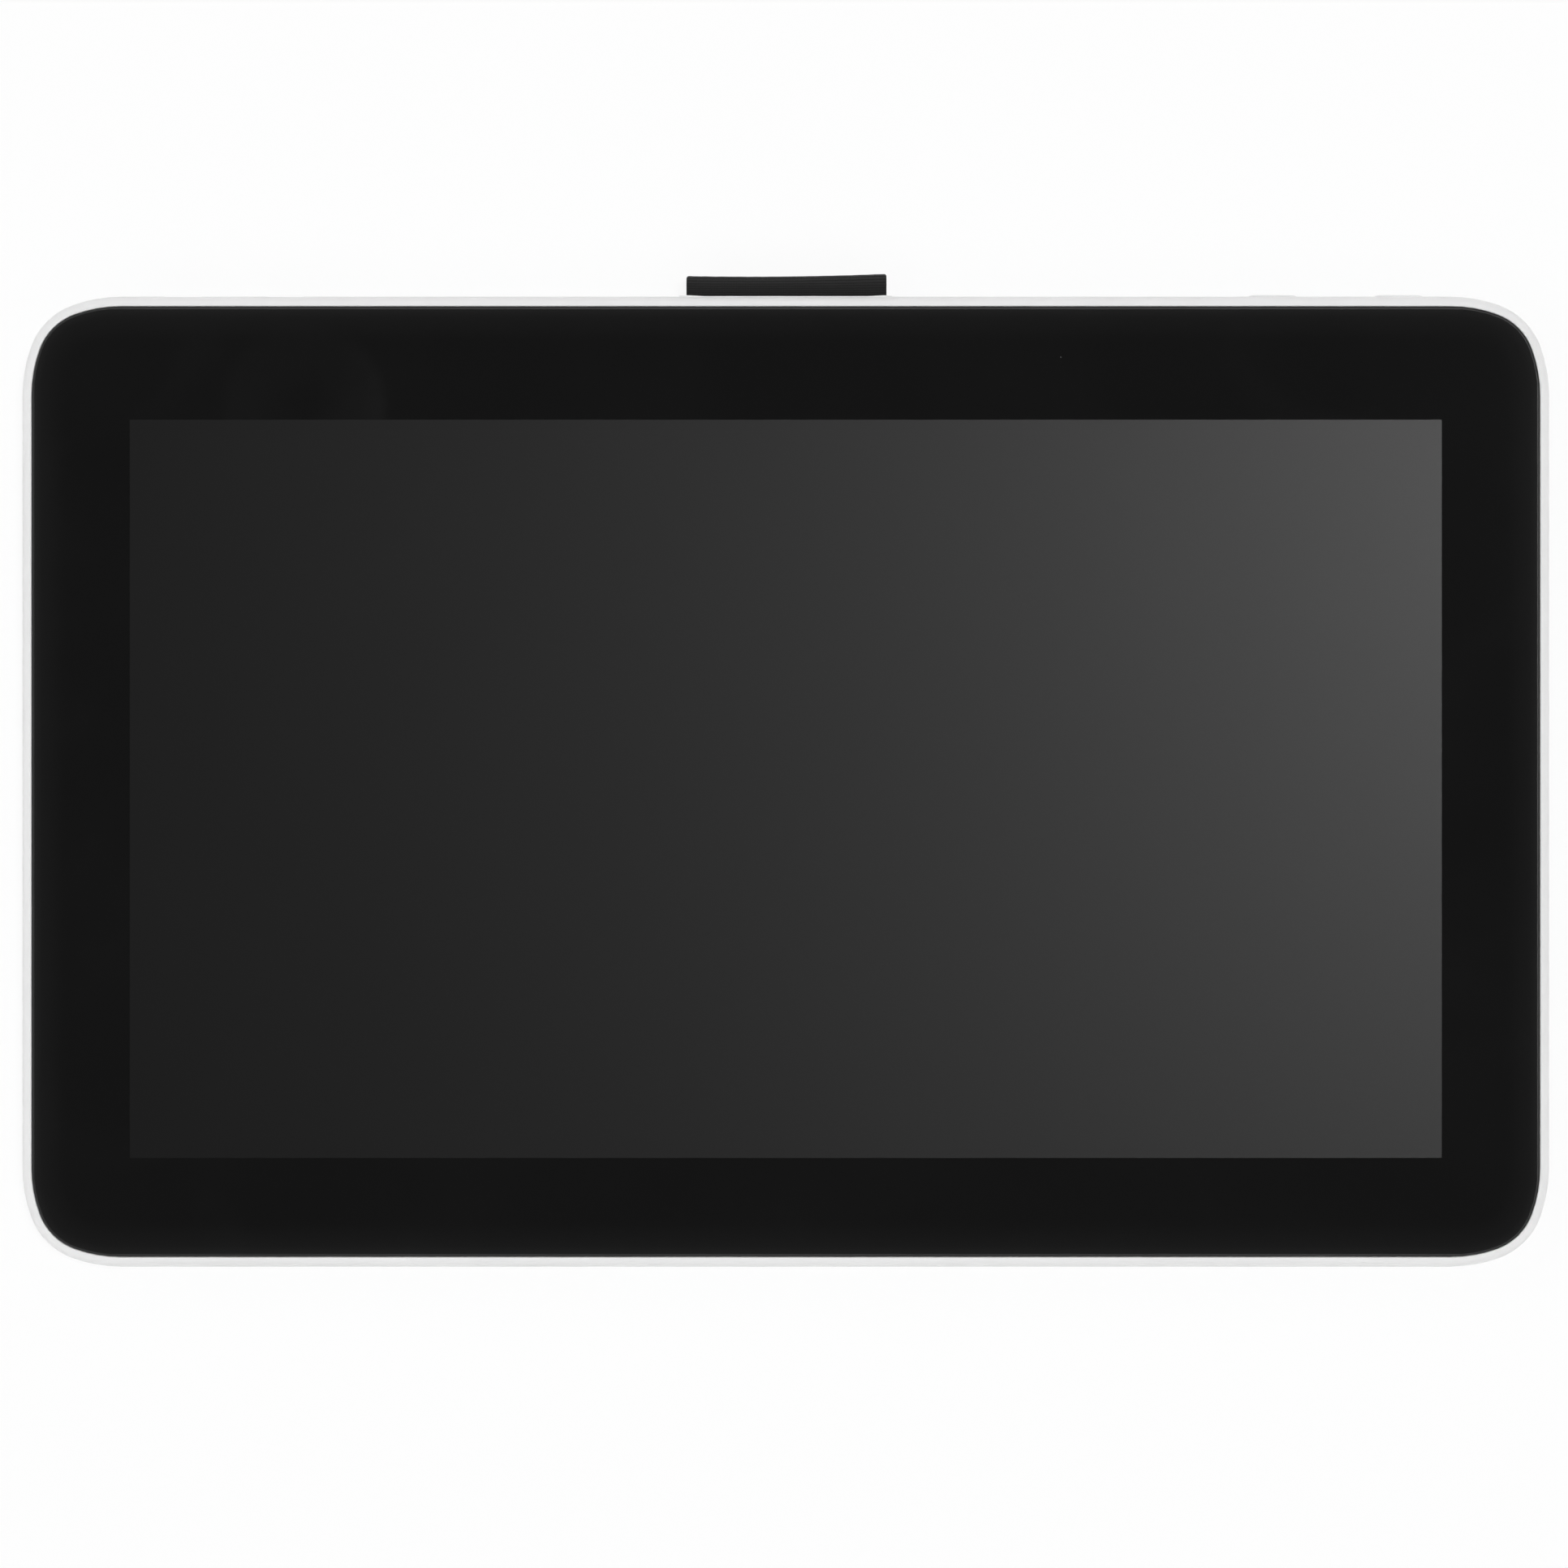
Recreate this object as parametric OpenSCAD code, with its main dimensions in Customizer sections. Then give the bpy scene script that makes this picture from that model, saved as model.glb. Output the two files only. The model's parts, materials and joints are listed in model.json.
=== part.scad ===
// Pen display: a thin drawing tablet with a built-in screen, white shells, a black-bordered glass
// front, a pull-out fabric pen loop and two buttons on its top edge.
// The part lies face up. +X is to the right, +Y towards the top edge and +Z out of the screen.
// The origin is the centre of the base of the whole part's box, on the plane that the feet stand on.

/* [Case] */
// Width of the case
body_w = 299; // [290:1:320]
// Depth of the case, from the bottom edge to the top edge
body_h = 190; // [184:1:206]
// Thickness of the case, from the rear face to the front of the glass
body_t = 9; // [8.8:0.1:10.5]
// Radius of the broad arcs on either side of a corner
shoulder_r = 28.5; // [25:0.5:32]
// Radius of the tight arc in the middle of a corner
corner_r = 13.5; // [12:0.5:17]
// Angle through which each broad arc turns
shoulder_a = 20; // [14:1:26]
// Wall thickness of the shells
wall_t = 1.6; // [1.4:0.1:1.8]
// Floor thickness of the rear cover
floor_t = 1.5; // [1.3:0.1:1.7]
// Width of the white rim that shows round the glass
rim_w = 2.1; // [2:0.1:2.8]
// Height of the rim's curve above the widest level of the case
rim_rise = 2.9; // [2.5:0.1:3.2]
// Depth of the rim's top below the front of the glass
rim_drop = 0.1; // [0.05:0.05:0.3]
// Width of the curve that leads under the case
under_w = 6; // [5:0.25:8]
// Height of the seam between the shells above the rear face
seam_h = 2.7; // [2.4:0.1:2.8]
// Width of the seam's groove
seam_gap = 0.15; // [0.1:0.05:0.25]
// Thickness of the rear cover's tongue inside the seam
tongue_t = 0.9; // [0.7:0.1:1]
// Height of the tongue
tongue_h = 0.5; // [0.3:0.1:0.5]
// Gap left between pieces that fit into one another
fit_gap = 0.1; // [0.05:0.05:0.15]

/* [Screen] */
// Width of the area that lights up
active_w = 256.3; // [245:0.1:262]
// Height of the area that lights up
active_h = 144.2; // [136:0.1:146]
// Distance of the screen's centre below the centre of the case
active_drop = 1.4; // [0.5:0.1:2]
// Dark margin of the panel beyond the lit area
panel_margin = 3.6; // [3:0.1:4]
// Thickness of the cover glass
glass_t = 0.9; // [0.7:0.1:1]
// Radius of the glass's rounded front edge
glass_edge_r = 0.35; // [0.2:0.05:0.5]
// Thickness of the black border print and of the clear bond inside it
print_t = 0.1; // [0.05:0.01:0.15]
// Thickness of the adhesive frame under the glass
tape_t = 0.25; // [0.2:0.05:0.3]
// Thickness of the front frame's deck
deck_t = 0.9; // [0.8:0.1:1]
// Thickness of the liquid crystal cell
cell_t = 0.9; // [0.8:0.1:1]
// Thickness of the diffuser films
films_t = 0.4; // [0.3:0.05:0.5]
// Thickness of the light guide
light_guide_t = 0.5; // [0.4:0.05:0.6]
// Thickness of the reflector sheet
reflector_t = 0.1; // [0.08:0.01:0.15]
// Thickness of the panel's metal tray
tray_t = 0.2; // [0.15:0.05:0.25]
// Depth of the row of lamps along the bottom of the light guide
led_d = 3; // [2.5:0.1:4]
// Number of lamps in the row
led_count = 24; // [12:1:30]
// Thickness of the pen sensor board
sensor_t = 0.4; // [0.3:0.05:0.5]
// Thickness of the shield sheet behind the sensor
shield_t = 0.2; // [0.15:0.05:0.25]
// Thickness of the foam pads behind the shield
foam_t = 0.6; // [0.5:0.05:0.7]

/* [Chassis and fasteners] */
// Thickness of the inner chassis
chassis_t = 1; // [0.8:0.1:1.1]
// Width of the chassis's bars
bar_w = 16; // [12:1:18]
// Radius of the screws' shanks
screw_r = 1; // [0.8:0.05:1.1]
// Radius of the screws' heads
head_r = 1.8; // [1.6:0.05:1.9]
// Height of the screws' heads
head_h = 0.7; // [0.5:0.05:0.75]
// Outer radius of the brass thread inserts
insert_r = 1.55; // [1.5:0.05:1.7]
// Outer radius of the screw bosses
boss_r = 2.6; // [2.5:0.1:2.8]
// Distance between the chassis's fixing screws along each side
frame_screw_pitch = 62; // [50:1:70]

/* [Feet] */
// Length of a foot
foot_l = 44; // [36:1:50]
// Width of a foot
foot_w = 9; // [8:0.5:10]
// Height by which a foot stands out of the rear face
foot_proud = 0.9; // [0.6:0.1:1.2]
// Depth of a foot's pocket in the rear cover
foot_sunk = 0.6; // [0.4:0.1:0.7]
// Chamfer round a foot's sole
foot_chamfer = 0.4; // [0.2:0.1:0.5]
// Distance of a foot's centre from the side of the case
foot_in_x = 39.5; // [36:0.5:46]
// Distance of a foot's centre from the top or bottom edge
foot_in_y = 21; // [20.5:0.5:24]
// Distance between the two screws under a foot
foot_screw_pitch = 28; // [22:1:30]

/* [Top edge: boards and ports] */
// Thickness of the circuit boards
board_t = 1; // [0.8:0.1:1.1]
// Length of the main board
board_w = 98; // [94:1:100]
// Depth of the main board
board_d = 13; // [12.5:0.1:13.2]
// Distance of the boards from the top edge
board_in = 4; // [3.9:0.1:4.2]
// Distance of the main board from the left side
board_side = 18; // [17:0.5:20]
// Distance of the first port's centre from the left side
port_in = 31.5; // [30:0.5:36]
// Distance between the two ports
port_pitch = 20; // [16:0.5:22]
// Outer width of a port's shell
port_w = 8.94; // [8.8:0.02:9.1]
// Outer height of a port's shell
port_h = 3.26; // [3.1:0.02:3.3]
// Length of a port's shell
port_l = 7.4; // [6.5:0.1:8]
// Wall thickness of a port's shell
port_wall = 0.3; // [0.2:0.05:0.35]
// Depth of a port's mouth inside the edge
port_sunk = 0.6; // [0.4:0.1:1]

/* [Top edge: buttons] */
// Distance of the outer button's centre from the right side
button_in = 29.4; // [28:0.1:34]
// Distance between the two buttons
button_pitch = 24.7; // [20:0.1:28]
// Length of a button
button_l = 9.8; // [8:0.1:11]
// Height of a button
button_h = 3.2; // [2.6:0.1:3.3]
// Height by which a button stands out of the edge
button_proud = 0.32; // [0.2:0.02:0.6]
// Travel of a button
button_travel = 0.3; // [0.2:0.05:0.35]
// Depth of the button board
button_board_d = 11; // [10:0.1:12.5]

/* [Top edge: pen loop] */
// Width of the fabric loop
loop_w = 39.2; // [32:0.1:44]
// Reach of the loop beyond the top edge when it is pushed in
loop_reach = 4.3; // [4:0.1:6]
// Travel of the loop when it is pulled out
loop_travel = 8.5; // [6:0.1:8.8]
// Thickness of one ply of the fabric
ply_t = 0.7; // [0.5:0.05:0.8]
// Gap between the two plies in the slot
ply_gap = 0.5; // [0.3:0.05:0.6]
// Half height of the loop's outer eye
eye_half = 1.4; // [1.2:0.05:1.6]
// Height by which the slot's lip stands out of the edge
lip_proud = 0.2; // [0.1:0.05:0.3]

/* [Hidden] */
$fn = 48;

// The case sits back from the origin by half of what the loop adds to the part's depth
case_y = -loop_reach / 2;
edge_y = body_h / 2;

// Levels, from the front of the glass down to the chassis
z_rear = foot_proud;
z_floor = z_rear + floor_t;
z_front = z_rear + body_t;
z_glass = z_front - glass_t;
z_print = z_glass - print_t;
z_tape = z_print - tape_t;
z_deck = z_tape - deck_t;
z_cell = z_print - cell_t;
z_films = z_cell - films_t;
z_light_guide = z_films - light_guide_t;
z_reflector = z_light_guide - reflector_t;
z_tray = z_reflector - tray_t;
z_sensor = z_tray - sensor_t;
z_shield = z_sensor - shield_t;
z_foam = z_shield - foam_t;
z_chassis = z_foam - chassis_t;

// Levels of the edge: the top of the rim, the widest level, the seam and the row of edge fittings
z_rim = z_front - rim_drop;
z_wide = z_rim - rim_rise;
z_seam = z_rear + seam_h;
port_roof = 0.19;
z_edge = z_deck - port_roof - port_h / 2;
z_board_top = z_edge - port_h / 2;
z_board = z_board_top - board_t;

// Screen
active_y = -active_drop;
panel_w = active_w + 2 * panel_margin;
panel_h = active_h + 2 * panel_margin;
window_gap = 0.8;
tray_wall = 0.3;
stack_w = panel_w - 2 * (tray_wall + fit_gap);
stack_h = panel_h - 2 * (tray_wall + fit_gap);
glass_in = rim_w + fit_gap;

// Loop and its guide, measured in from the top edge
guide_in = 3.8;
guide_wall = 1.2;
stop_gap = 0.3;
stop_bar_d = 2;
stop_bar_t = 1;
stop_bar_over = 3;
bar_half = stop_bar_t / 2 + fit_gap + ply_t;
mid_half = ply_gap / 2 + ply_t;
bar_front = guide_in + guide_wall + loop_travel + stop_gap;
rear_slack = 0.3;
loop_rear = bar_front + stop_bar_d + rear_slack + ply_t;
guide_gap = 0.35;
channel_w = loop_w + 2 * (stop_bar_over + guide_gap);
guide_floor = 1;
slot_gap = 0.5;

// Bay along the top edge that holds the boards and the loop
bay_gap = 1;
bay_y = edge_y - max(board_in + board_d, loop_rear) - bay_gap;

// Buttons
button_x = [body_w / 2 - button_in - button_pitch, body_w / 2 - button_in];
button_gap = 0.15;
flange_in = 2.7;
flange_t = 0.8;
flange_over = 1.2;
switch_in = 6;
switch_w = 4.6;
switch_d = 2.6;
switch_h = 2.4;
plunger_w = 2.2;
plunger_h = 1.2;
plunger_l = 0.6;
button_end = 11;
button_board_x0 = button_x[0] - button_end;
button_board_x1 = button_x[1] + button_end;
led_x = (button_x[0] + button_x[1]) / 2;
pipe_r = 0.6;
pipe_l = 4;

// Ports, main board and its fittings
port_x = [-body_w / 2 + port_in, -body_w / 2 + port_in + port_pitch];
port_gap = 0.2;
board_x0 = -body_w / 2 + board_side;
board_y0 = edge_y - board_in - board_d;
connector_d = 3.4;
connector_h = 1.2;
socket_over = 2;
flex_t = 0.15;
flex_bend = 0.2;
display_flex_along = 68;
display_flex_x = board_x0 + display_flex_along;
display_flex_w = 24;
sensor_flex_along = 38;
sensor_flex_x = board_x0 + sensor_flex_along;
sensor_flex_w = 18;
button_flex_w = 3;
button_socket_in = 12;
button_board_socket_in = 4;
button_flex_x = [board_x0 + board_w - button_socket_in, button_board_x0 + button_board_socket_in];
socket_in = board_in + board_d;
button_socket_end = board_in + button_board_d;

// Places of the fasteners
foot_x = body_w / 2 - foot_in_x;
foot_y = edge_y - foot_in_y;
cover_screw_places = [
  for (sx = [-1, 1], sy = [-1, 1], e = [-1, 1]) [sx * foot_x + e * foot_screw_pitch / 2, sy * foot_y]
];
frame_screw_x = (panel_w / 2 + window_gap + body_w / 2 - wall_t) / 2;
frame_screw_places = [
  for (sx = [-1, 1], k = [-1:1]) [sx * frame_screw_x, active_y + k * frame_screw_pitch]
];
board_screw_in = 3;
board_screw_y = board_y0 + board_screw_in;
guide_ear_x = channel_w / 2 + guide_wall + boss_r;
guide_ear_in = 2;
guide_ear_y = edge_y - guide_in - guide_wall - boss_r - guide_ear_in;
board_screw_places = [
  [board_x0 + board_screw_in, board_screw_y], [board_x0 + board_w - board_screw_in, board_screw_y],
  [-guide_ear_x, guide_ear_y], [guide_ear_x, guide_ear_y],
  [button_board_x0 + board_screw_in, edge_y - board_in - board_screw_in],
  [button_board_x1 - board_screw_in, edge_y - board_in - board_screw_in]
];
screw_gap = 0.2;
standoff_r = 2.2;
standoff_root = 0.6;
thread_gap = 0.03;
cover_boss_h = 1;
z_cover_boss = z_floor + cover_boss_h;

// The outline of the case is a rounded rectangle whose corners are three tangent arcs: a broad one,
// a tight one and a broad one. An inset outline keeps the same arc centres.
arc_r = [shoulder_r, corner_r, shoulder_r];
arc_start = [0, shoulder_a, 90 - shoulder_a];
arc_turn = [shoulder_a, 90 - 2 * shoulder_a, shoulder_a];
arc_steps = [4, 8, 4];
corner_len = shoulder_r - (shoulder_r - corner_r) * (cos(shoulder_a) - sin(shoulder_a));
side_c = [body_w / 2 - shoulder_r, edge_y - corner_len];
middle_c = side_c + (shoulder_r - corner_r) * [cos(shoulder_a), sin(shoulder_a)];
top_c = [body_w / 2 - corner_len, edge_y - shoulder_r];
arc_c = [side_c, middle_c, top_c];

function on_arc(k, inset, i) =
  let (a = arc_start[k] + arc_turn[k] * i / arc_steps[k])
  arc_c[k] + (arc_r[k] - inset) * [cos(a), sin(a)];

function corner_points(inset) = [
  for (k = [0:2], i = [0:arc_steps[k] - (k < 2 ? 1 : 0)]) on_arc(k, inset, i)
];

function outline_points(inset) =
  let (c = corner_points(inset), n = len(c))
  concat(
    c,
    [for (i = [n - 1:-1:0]) [-c[i].x, c[i].y]],
    [for (p = c) -p],
    [for (i = [n - 1:-1:0]) [c[i].x, -c[i].y]]
  );

// Side profile of the case as [inset, height] points
function under_point(width, height, t) = [under_w - width * cos(t), z_wide - height * sin(t)];
function under_angle(height, z) = asin((z_wide - z) / height);
function outer_under(t) = under_point(under_w, z_wide - z_rear, t);
function inner_under(t) = under_point(under_w - wall_t, z_wide - z_floor, t);
function outer_angle(z) = under_angle(z_wide - z_rear, z);
function inner_angle(z) = under_angle(z_wide - z_floor, z);
function steps(from, to, n) = [for (i = [0:n]) from + (to - from) * i / n];
function ease(t) = t * t * (3 - 2 * t);

under_steps = 7;
rim_steps = 7;
rim_r = (rim_rise * rim_rise + rim_w * rim_w) / (2 * rim_w);
rim_end = atan2(rim_rise, rim_r - rim_w);
rim_bevel = 0.15;
function rim_point(a) = [rim_r - rim_r * cos(a), z_wide + rim_r * sin(a)];
seam_inner = inner_under(inner_angle(z_seam)).x;
tongue_in = seam_inner - tongue_t;

function side_faces(n, m, closed) = [
  for (j = [0:m - (closed ? 1 : 2)], i = [0:n - 1])
    let (i2 = (i + 1) % n, j2 = (j + 1) % m)
    [j * n + i, j2 * n + i, j2 * n + i2, j * n + i2]
];

function profile_points(profile) = [for (p = profile) for (q = outline_points(p.x)) [q.x, q.y, p.y]];

// A ring with a closed profile that follows the outline
module outline_ring(profile) {
  n = len(outline_points(0));
  polyhedron(profile_points(profile), side_faces(n, len(profile), true), convexity = 8);
}

// A plate or bowl whose edge profile runs from its underside to its upper side
module outline_bowl(profile) {
  n = len(outline_points(0));
  m = len(profile);
  caps = [[for (i = [0:n - 1]) i], [for (i = [n - 1:-1:0]) (m - 1) * n + i]];
  polyhedron(profile_points(profile), concat(side_faces(n, m, false), caps), convexity = 8);
}

// A layer between two levels, with its outline inset from the case's
module outline_layer(inset, z, t) {
  translate([0, 0, z]) linear_extrude(t) difference() {
    polygon(outline_points(inset));
    children();
  }
}

// A rectangular layer centred on the screen
module screen_layer(w, h, z, t) {
  translate([-w / 2, active_y - h / 2, z]) cube([w, h, t]);
}

module screen_window(w, h) {
  translate([0, active_y]) square([w, h], center = true);
}

// A block that stands on the boards or hangs from the edge, placed by its centre in X, its near face
// measured in from the top edge, and its base level
module edge_block(x, in, z, size) {
  translate([x - size.x / 2, edge_y - in - size.y, z]) cube(size);
}

// A prism with round ends that points along +Y, centred on the row of edge fittings
module edge_pill(x, y0, l, w, h) {
  translate([x, y0, z_edge]) rotate([-90, 0, 0]) {
    for (s = [-1, 1]) translate([s * (w - h) / 2, 0, 0]) cylinder(r = h / 2, h = l);
    translate([-(w - h) / 2, -h / 2, 0]) cube([w - h, h, l]);
  }
}

// An upright body with round ends, made from one half of its cross-section
module upright_pill(span) {
  for (s = [0, 1]) mirror([s, 0, 0]) translate([span / 2, 0, 0]) rotate(-90)
    rotate_extrude(angle = 180) children();
  rotate([90, 0, 90]) translate([0, 0, -span / 2]) linear_extrude(span) {
    children();
    mirror([1, 0]) children();
  }
}

module at_places(places) {
  for (p = places) translate([p.x, p.y, 0]) children();
}

// A screw whose head lies below its shank, or above it where it drives downwards
module screw_up(z_head, l) {
  translate([0, 0, z_head]) cylinder(r = head_r, h = head_h);
  translate([0, 0, z_head + head_h]) cylinder(r = screw_r - thread_gap, h = l);
}

module screw_down(z_seat, l) {
  translate([0, 0, z_seat]) cylinder(r = head_r, h = head_h);
  translate([0, 0, z_seat - l]) cylinder(r = screw_r - thread_gap, h = l);
}

// Rear cover: a shallow bowl with a tongue along its seam, foot pockets, screw bosses and standoffs
module rear_cover() {
  tongue_top = z_seam + tongue_h;
  profile = concat(
    [for (t = steps(90, outer_angle(z_seam), under_steps)) outer_under(t)],
    [[tongue_in, z_seam], [tongue_in, tongue_top]],
    [for (t = steps(inner_angle(tongue_top), 90, under_steps)) inner_under(t)]
  );
  color("whitesmoke") difference() {
    union() {
      outline_bowl(profile);
      at_places(cover_screw_places) translate([0, 0, z_rear + foot_sunk + fit_gap])
        cylinder(r = boss_r, h = z_cover_boss - z_rear - foot_sunk - fit_gap);
      at_places(board_screw_places) translate([0, 0, z_floor - standoff_root])
        cylinder(r = standoff_r, h = z_board - z_floor + standoff_root);
    }
    foot_places() translate([0, 0, z_rear - 1]) upright_pill(foot_l - foot_w)
      square([foot_w / 2 + fit_gap, 1 + foot_sunk]);
    at_places(cover_screw_places) {
      translate([0, 0, z_rear]) cylinder(r = screw_r + screw_gap, h = body_t);
      translate([0, 0, z_rear]) cylinder(r = head_r + screw_gap, h = foot_sunk + head_h + fit_gap);
    }
    at_places(board_screw_places) translate([0, 0, z_floor - standoff_root / 2])
      cylinder(r = screw_r, h = body_t);
  }
}

// Front frame: the white rim and side walls, with a deck under the glass and bosses for the chassis
module front_frame() {
  z_foot = z_seam + seam_gap;
  z_rebate = z_seam + tongue_h + fit_gap;
  z_mid_deck = z_deck + deck_t / 2;
  profile = concat(
    [for (t = steps(outer_angle(z_foot), 0, under_steps)) outer_under(t)],
    [for (i = [1:rim_steps - 1]) rim_point(rim_end * i / rim_steps)],
    [[rim_w - rim_bevel, z_rim], [rim_w, z_rim - rim_bevel], [rim_w, z_mid_deck], [wall_t, z_mid_deck]],
    [for (t = steps(0, inner_angle(z_rebate), under_steps)) inner_under(t)],
    [[tongue_in - fit_gap, z_rebate], [tongue_in - fit_gap, z_foot]]
  );
  boss_roof = 0.4;
  boss_bore_h = z_deck - z_foam - boss_roof;
  cut_y = edge_y - 2 * wall_t;
  cut_l = 3 * wall_t;
  color("whitesmoke") difference() {
    union() {
      outline_ring(profile);
      outline_layer(wall_t / 2, z_deck, deck_t)
        screen_window(panel_w + 2 * window_gap, panel_h + 2 * window_gap);
      at_places(frame_screw_places) translate([0, 0, z_foam])
        cylinder(r = boss_r, h = z_mid_deck - z_foam);
      slot_lip();
    }
    at_places(frame_screw_places) translate([0, 0, z_foam - 1]) cylinder(r = screw_r, h = 1 + boss_bore_h);
    for (x = port_x) edge_pill(x, cut_y, cut_l, port_w + 2 * port_gap, port_h + 2 * port_gap);
    for (x = button_x) edge_pill(x, cut_y, cut_l, button_l + 2 * button_gap, button_h + 2 * button_gap);
    loop_slot();
    translate([led_x, cut_y, z_edge]) rotate([-90, 0, 0]) cylinder(r = pipe_r + fit_gap / 2, h = cut_l);
  }
}

// Raised lip round the loop's slot
module slot_lip() {
  lip_over = 0.8;
  lip_w = loop_w + 2 * (slot_gap + lip_over);
  lip_h = 2 * (mid_half + slot_gap + lip_over);
  edge_pill(0, edge_y - wall_t / 2, wall_t / 2 + lip_proud, lip_w, min(lip_h, 2 * (z_deck - z_edge)));
}

module loop_slot() {
  w = loop_w + 2 * slot_gap;
  h = 2 * (mid_half + slot_gap);
  translate([-w / 2, edge_y - 3 * wall_t, z_edge - h / 2]) cube([w, 5 * wall_t, h]);
}

// Cover glass with a rounded front edge
module cover_glass() {
  edge = [for (a = steps(0, 90, 4)) [
    glass_in + glass_edge_r * (1 - cos(a)), z_front - glass_edge_r * (1 - sin(a))
  ]];
  color("dimgray") outline_bowl(concat([[glass_in, z_glass]], edge));
}

// Black print on the back of the glass, round the lit area
module border_print() {
  color("black") outline_layer(glass_in + fit_gap, z_print, print_t) screen_window(active_w, active_h);
}

// Clear adhesive between the glass and the panel
module optical_bond() {
  color("lightgray") screen_layer(active_w - 2 * fit_gap, active_h - 2 * fit_gap, z_print, print_t);
}

// Adhesive frame that holds the glass to the deck
module glass_tape() {
  color("black") outline_layer(glass_in + 2 * fit_gap, z_tape, tape_t)
    screen_window(panel_w + 2 * window_gap, panel_h + 2 * window_gap);
}

// Liquid crystal cell
module lcd_cell() {
  color([0.13, 0.13, 0.14]) screen_layer(panel_w, panel_h, z_cell, cell_t);
}

// Diffuser and prism films on the light guide
module diffuser_films() {
  color("white") screen_layer(stack_w, stack_h, z_films, films_t);
}

// Light guide, cut short along the bottom to make room for the lamps
module light_guide() {
  h = stack_h - led_d - fit_gap;
  color("lightcyan") translate([-stack_w / 2, active_y + stack_h / 2 - h, z_light_guide])
    cube([stack_w, h, light_guide_t]);
}

// Reflector sheet behind the light guide
module reflector_sheet() {
  color("white") screen_layer(stack_w, stack_h, z_reflector, reflector_t);
}

// Lamps on a strip along the bottom of the light guide
module led_bar() {
  strip_t = 0.15;
  lamp_w = 3.2;
  lamp_d = led_d * 0.4;
  pitch = stack_w / led_count;
  y0 = active_y - stack_h / 2;
  color("khaki") {
    translate([-stack_w / 2, y0, z_light_guide]) cube([stack_w, led_d, strip_t]);
    for (k = [0:led_count - 1])
      translate([-stack_w / 2 + (k + 0.5) * pitch - lamp_w / 2, y0 + led_d - lamp_d, z_light_guide])
        cube([lamp_w, lamp_d, light_guide_t]);
  }
}

// Thin metal tray that holds the panel's films
module panel_tray() {
  color("silver") difference() {
    screen_layer(panel_w, panel_h, z_tray, z_cell - z_tray);
    screen_layer(panel_w - 2 * tray_wall, panel_h - 2 * tray_wall, z_reflector, body_t);
  }
}

// Pen sensor board behind the panel
module pen_sensor() {
  color("darkgreen") screen_layer(panel_w, panel_h, z_sensor, sensor_t);
}

// Shield sheet behind the pen sensor
module sensor_shield() {
  color("silver") screen_layer(panel_w, panel_h, z_shield, shield_t);
}

// Centre lines of the chassis's bars, across and along the screen
function bar_lines(size, n) = [for (k = [0:n]) (size - bar_w) * (k / n - 0.5)];
chassis_cols = 3;
chassis_rows = 2;

// Foam strips on the chassis's cross bars
module foam_pads() {
  pad_w = bar_w / 2;
  color("dimgray") for (y = bar_lines(panel_h, chassis_rows))
    translate([(bar_w - panel_w) / 2, active_y + y - pad_w / 2, z_foam])
      cube([panel_w - bar_w, pad_w, foam_t]);
}

// Chassis: a barred plate that carries the panel, screwed to the deck, with bosses for the rear cover
module chassis() {
  xs = bar_lines(panel_w, chassis_cols);
  ys = bar_lines(panel_h, chassis_rows);
  chassis_in = 2.6;
  color([0.2, 0.2, 0.21]) difference() {
    union() {
      translate([0, 0, z_chassis]) linear_extrude(chassis_t) intersection() {
        polygon(outline_points(chassis_in));
        translate([-body_w / 2, -edge_y]) square([body_w, edge_y + bay_y]);
      }
      at_places(cover_screw_places) translate([0, 0, z_cover_boss])
        cylinder(r = boss_r, h = z_foam - z_cover_boss);
    }
    for (i = [0:chassis_cols - 1], j = [0:chassis_rows - 1])
      translate([xs[i] + bar_w / 2, active_y + ys[j] + bar_w / 2, z_chassis - 1])
        cube([xs[i + 1] - xs[i] - bar_w, ys[j + 1] - ys[j] - bar_w, chassis_t + 2]);
    at_places(cover_screw_places) translate([0, 0, z_cover_boss - 1]) cylinder(r = insert_r, h = body_t);
    at_places(frame_screw_places) translate([0, 0, z_chassis - 1])
      cylinder(r = screw_r + screw_gap, h = chassis_t + 2);
  }
}

// Screws that hold the chassis to the front frame
module frame_screws() {
  grip = 1.5;
  color("silver") at_places(frame_screw_places) screw_up(z_chassis - head_h, chassis_t + grip);
}

// Brass inserts in the chassis's bosses
module thread_inserts() {
  color("goldenrod") at_places(cover_screw_places) translate([0, 0, z_cover_boss]) difference() {
    cylinder(r = insert_r, h = z_foam - z_cover_boss);
    translate([0, 0, -1]) cylinder(r = screw_r, h = body_t);
  }
}

// Screws under the feet, up into the inserts
module cover_screws() {
  z_head = z_rear + foot_sunk + fit_gap;
  color("silver") at_places(cover_screw_places) screw_up(z_head, z_foam - z_head - head_h - fit_gap);
}

module foot_places() {
  for (sx = [-1, 1], sy = [-1, 1]) translate([sx * foot_x, sy * foot_y, 0]) children();
}

// Rubber feet
module rubber_feet() {
  r = foot_w / 2;
  color("gray") foot_places() upright_pill(foot_l - foot_w) polygon([
    [0, 0], [r - foot_chamfer, 0], [r, foot_chamfer], [r, z_rear + foot_sunk], [0, z_rear + foot_sunk]
  ]);
}

// Holes for the screws of the boards and of the loop's guide
module board_screw_holes() {
  at_places(board_screw_places) translate([0, 0, z_board - 1])
    cylinder(r = screw_r + screw_gap, h = board_t + 2);
}

// Main board, cut round its screws
module main_board() {
  color("seagreen") difference() {
    translate([board_x0, board_y0, z_board]) cube([board_w, board_d, board_t]);
    board_screw_holes();
  }
}

// Chips on the main board, as [distance along the board, width, depth, height]
chips = [[48, 6, 6, 0.9], [66, 6, 6, 0.8], [84, 5, 4, 0.8]];
chip_in = board_in + 2;

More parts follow.
